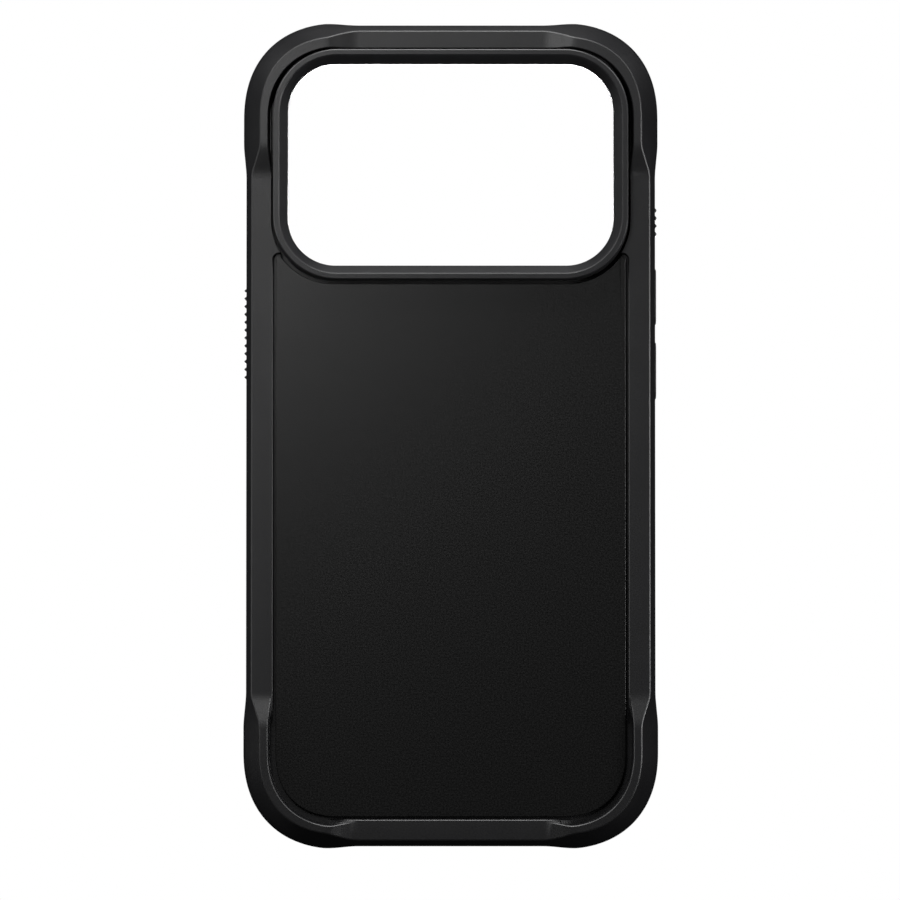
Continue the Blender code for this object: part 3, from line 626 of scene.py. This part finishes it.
def add_tooth(body, side, root, y, z, width, half_height):
    """Upright tooth on the face of a ribbed key, with its ends run out into the face."""
    rows = []
    for share, rise in TOOTH_ENDS:
        row = []
        for i in range(TOOTH_STEPS + 1):
            across = 2.0 * i / TOOTH_STEPS - 1.0
            x = root - TOOTH_ROOT + (TOOTH_DEPTH + TOOTH_ROOT) * rise * (1.0 - abs(across) ** TOOTH_BEND)
            corner = Vector((side * x, y + width / 2.0 * across, z + half_height * share))
            row.append(body.verts.new(corner * MM))
        rows.append(row)
    for row, following in zip(rows, rows[1:]):
        for i in range(TOOTH_STEPS):
            body.faces.new((row[i], row[i + 1], following[i + 1], following[i]))
        body.faces.new((row[0], following[0], following[-1], row[-1]))
    body.faces.new(rows[0])
    body.faces.new(rows[-1])


def make_cap(name, material):
    """Hard key cap: flange behind the bumper's wall, stem with a soft rim, and teeth on the ribbed ones."""
    side, y, z, length, height, inner, tip = button_box(name)
    face = tip - TOOTH_DEPTH if name in RIBBED else tip
    rim = RIBBED_KEY_RIM if name in RIBBED else KEY_RIM
    flange = (length + 2.0 * CAP_FLANGE_MARGIN, height + 2.0 * CAP_FLANGE_MARGIN)
    sections = [(inner, flange[0] - 2.0 * CAP_FLANGE_EDGE, flange[1] - 2.0 * CAP_FLANGE_EDGE),
                (inner + CAP_FLANGE_EDGE, *flange), (inner + CAP_FLANGE_THICKNESS, *flange),
                (inner + CAP_FLANGE_THICKNESS, length, height)]
    for i in range(KEY_RIM_STEPS + 1):
        angle = math.pi / 2.0 * i / KEY_RIM_STEPS
        trim = 2.0 * rim * (1.0 - math.cos(angle))
        sections.append((face - rim * (1.0 - math.sin(angle)), length - trim, height - trim))
    cap = stacked_solid(name + "_key", side, y, z, sections)
    if name in RIBBED:
        body = bmesh.new()
        body.from_mesh(cap.data)
        count = round(length / RIB_PITCH)
        for i in range(count):
            offset = (i - (count - 1) / 2.0) * RIB_PITCH
            beyond = max(abs(offset) + RIBBED[name] / 4.0 - (length - height) / 2.0, 0.0)
            half_height = math.sqrt((height / 2.0) ** 2 - beyond ** 2) - TOOTH_END_GAP
            add_tooth(body, side, face, y + offset, z, RIBBED[name], half_height)
        bmesh.ops.recalc_face_normals(body, faces=body.faces)
        body.to_mesh(cap.data)
        body.free()
    shade_by_angle(cap, KEY_SMOOTH_BEND)
    dress(cap, name, material, name + "_cap")


# Camera ring and panel


def make_camera_ring(material):
    """Ring with a flat land, a bevel down to the window and a skirt through the shell."""
    base_corner = RING_CORNER + RING_BASE_OFFSET
    skirt_corner = RING_CORNER + RING_SKIRT_OFFSET
    edges = ((RING_BASE_OFFSET, base_corner, RING_BASE_Z),
             (RING_BASE_OFFSET, base_corner, RING_BEVEL_FOOT_Z),
             (0.0, RING_LAND_CORNER, RING_TOP_Z),
             (RING_LAND_INNER_OFFSET, RING_LAND_CORNER + RING_LAND_INNER_OFFSET, RING_TOP_Z),
             (RING_WINDOW_OFFSET, RING_WINDOW_CORNER, RING_BEVEL_FOOT_Z),
             (RING_WINDOW_OFFSET, RING_WINDOW_CORNER, RING_LOW.z),
             (RING_SKIRT_OFFSET, skirt_corner, RING_LOW.z), (RING_SKIRT_OFFSET, skirt_corner, RING_BASE_Z))
    loops = [[(x, y, z) for x, y in ring_outline(offset, corner)] for offset, corner, z in edges]
    ring = loft("camera_ring_body", loops)
    chamfer_edges(ring, *RING_CHAMFER)
    dress(ring, FRAME_BODY, material, "camera_ring")


def make_panel(material):
    """Flat back plate, cut round the camera ring."""
    panel = prism("back_panel_plate", panel_outline(0.0), "Z", PANEL_LOW.z, PANEL_HIGH.z)
    cut(panel, prism("ring_cut", ring_outline(PANEL_RING_OFFSET), "Z", PANEL_LOW.z - PANEL_CUT_MARGIN,
                     RING_TOP_Z + PANEL_CUT_MARGIN))
    tidy_mesh(panel)
    round_edges(panel, PANEL_ROUNDING, 3, clamp=False)
    dress(panel, FRAME_BODY, material, "back_panel")


# Stage, in metres

FLOOR_HALF_WIDTH = 3.0
FLOOR_DROP = 0.0002
WHITE = (1.0, 1.0, 1.0, 1.0)
WORLD_GLOW = 0.009
CAMERA_AIM = (-0.00014, -0.00269, 0.006)
CAMERA_EYE = (-0.00014, -0.030, 1.006)
FILM_WIDTH_MM = 36.0
# Width of what the camera sees at its aim
VIEW_WIDTH = 0.17028
LIGHT_AIM = (0.0, 0.0, 0.01)
# Soft boxes: name, place, size and power. Two hang near the upper left, the rest stand low around the case,
# and one faces the inside of the case from below.
LIGHTS = (
    ("near_left", (-0.11, 0.09, 0.25), 0.1, 0.14),
    ("near_top", (-0.075, 0.135, 0.27), 0.1, 0.1),
    ("top", (0.0, 0.59, 0.105), 0.3, 3.4),
    ("top_right", (0.42, 0.42, 0.105), 0.3, 1.2),
    ("top_left", (-0.42, 0.42, 0.105), 0.3, 1.4),
    ("right", (0.48, 0.0, 0.255), 0.2, 1.4),
    ("left", (-0.59, 0.0, 0.105), 0.3, 0.8),
    ("bottom_right", (0.42, -0.42, 0.105), 0.3, 0.13),
    ("bottom_left", (-0.42, -0.42, 0.105), 0.3, 0.13),
    ("bottom", (0.0, -0.59, 0.105), 0.3, 0.04),
    ("below", (0.0, 0.0, -0.5), 0.16, 2.4),
)


def make_floor():
    """Pale floor under the case, seen from above only."""
    body = bmesh.new()
    bmesh.ops.create_grid(body, x_segments=1, y_segments=1, size=FLOOR_HALF_WIDTH)
    floor = link("floor", body)
    floor.location.z = -FLOOR_DROP
    material = bpy.data.materials.new("floor")
    material.use_nodes = True
    tree = material.node_tree
    tree.nodes.clear()
    output = tree.nodes.new("ShaderNodeOutputMaterial")
    surface = tree.nodes.new("ShaderNodeMixShader")
    geometry = tree.nodes.new("ShaderNodeNewGeometry")
    clear = tree.nodes.new("ShaderNodeBsdfTransparent")
    glow = tree.nodes.new("ShaderNodeEmission")
    glow.inputs["Color"].default_value = WHITE
    tree.links.new(geometry.outputs["Backfacing"], surface.inputs["Fac"])
    tree.links.new(glow.outputs["Emission"], surface.inputs[1])
    tree.links.new(clear.outputs["BSDF"], surface.inputs[2])
    tree.links.new(surface.outputs["Shader"], output.inputs["Surface"])
    floor.data.materials.append(material)
    floor.visible_glossy = False
    floor.visible_diffuse = False
    floor.visible_shadow = False


def aimed(name, data, place, target):
    """Put a light or a camera in the scene, turned to a point."""
    holder = bpy.data.objects.new(name, data)
    holder.location = place
    holder.rotation_mode = "QUATERNION"
    holder.rotation_quaternion = (Vector(target) - Vector(place)).to_track_quat("-Z", "Y")
    bpy.context.scene.collection.objects.link(holder)
    return holder


def make_light(name, place, size, power):
    """Square soft light, aimed at the case."""
    lamp = bpy.data.lights.new(name, "AREA")
    lamp.shape = "RECTANGLE"
    lamp.size = lamp.size_y = size
    lamp.energy = power
    aimed(name, lamp, place, LIGHT_AIM)


def make_world():
    """White to the camera, dim to everything else."""
    world = bpy.data.worlds.new("studio")
    world.use_nodes = True
    bpy.context.scene.world = world
    tree = world.node_tree
    tree.nodes.clear()
    output = tree.nodes.new("ShaderNodeOutputWorld")
    choice = tree.nodes.new("ShaderNodeMixShader")
    path = tree.nodes.new("ShaderNodeLightPath")
    tree.links.new(path.outputs["Is Camera Ray"], choice.inputs["Fac"])
    for socket, strength in ((1, WORLD_GLOW), (2, 1.0)):
        background = tree.nodes.new("ShaderNodeBackground")
        background.inputs["Color"].default_value = WHITE
        background.inputs["Strength"].default_value = strength
        tree.links.new(background.outputs["Background"], choice.inputs[socket])
    tree.links.new(choice.outputs["Shader"], output.inputs["Surface"])


def make_camera():
    """Camera high above the back, leaning a little from the lower end."""
    lens = bpy.data.cameras.new("camera")
    lens.sensor_width = FILM_WIDTH_MM
    lens.lens = FILM_WIDTH_MM * (Vector(CAMERA_EYE) - Vector(CAMERA_AIM)).length / VIEW_WIDTH
    lens.clip_start = 0.01
    lens.clip_end = 10.0
    bpy.context.scene.camera = aimed("camera", lens, CAMERA_EYE, CAMERA_AIM)


def make_pieces(soft, ring, panel, caps):
    """Fine pieces that stand in for the CAD nodes that are seen most."""
    make_bumper(soft)
    make_camera_ring(ring)
    make_panel(panel)
    for name in BUTTON_NAMES:
        make_cap(name, caps)


def look_of(name, looks):
    """Material of a CAD node, by its name or by its last word."""
    if name.startswith("ring_magnet"):
        return looks["magnet"]
    return looks.get(name) or looks[name.split("_")[-1]]


def main():
    """Build the looks."""
    bpy.context.scene.view_settings.view_transform = "Standard"
    # The soft frame's walls get a lower specular level as painted shade
    soft = grained("soft_frame", (0.0066, 0.0066, 0.0074), 0.45, 0.3, 0.014, specular=0.66,
                   shaded_wall_specular=0.24)
    panel = grained("back_panel", (0.001, 0.001, 0.001), 0.38, 0.3, 0.014, specular=0.64,
                    roughness_spread=0.09)
    ring = grained("camera_ring", (0.0135, 0.0135, 0.0147), 0.42, 0.16, 0.005, specular=0.53)
    caps = grained("button_caps", (0.008, 0.008, 0.0085), 0.42, 0.2, 0.005)
    pads = grained("button_pads", (0.03, 0.03, 0.03), 0.7, 0.3, 0.01)
    sheet = grained("adhesive_sheet", (0.5, 0.5, 0.48), 0.5, 0.4, 0.004)
    magnet = grained("magnet", (0.5, 0.5, 0.52), 0.3, 0.3, 0.002)
    looks = {"bumper": soft, "back_panel": panel, "camera_ring": ring, "cap": caps, "pad": pads,
             "adhesive": sheet, "film": sheet, "magnet": magnet,
             "inner_shell": grained("hard_shell", (0.022, 0.022, 0.022), 0.45, 0.3, 0.006),
             "microfibre_lining": grained("lining", (0.11, 0.11, 0.114), 0.95, 0.35, 0.05)}
    make_pieces(soft, ring, panel, caps)
    for name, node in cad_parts.items():
        look = look_of(name, looks)
        paint(node, look)
        if look in (pads, magnet):
            round_edges(node, SMALL_PIECE_ROUNDING, 2, clamp=True)
    make_floor()
    make_world()
    for light in LIGHTS:
        make_light(*light)
    make_camera()


main()
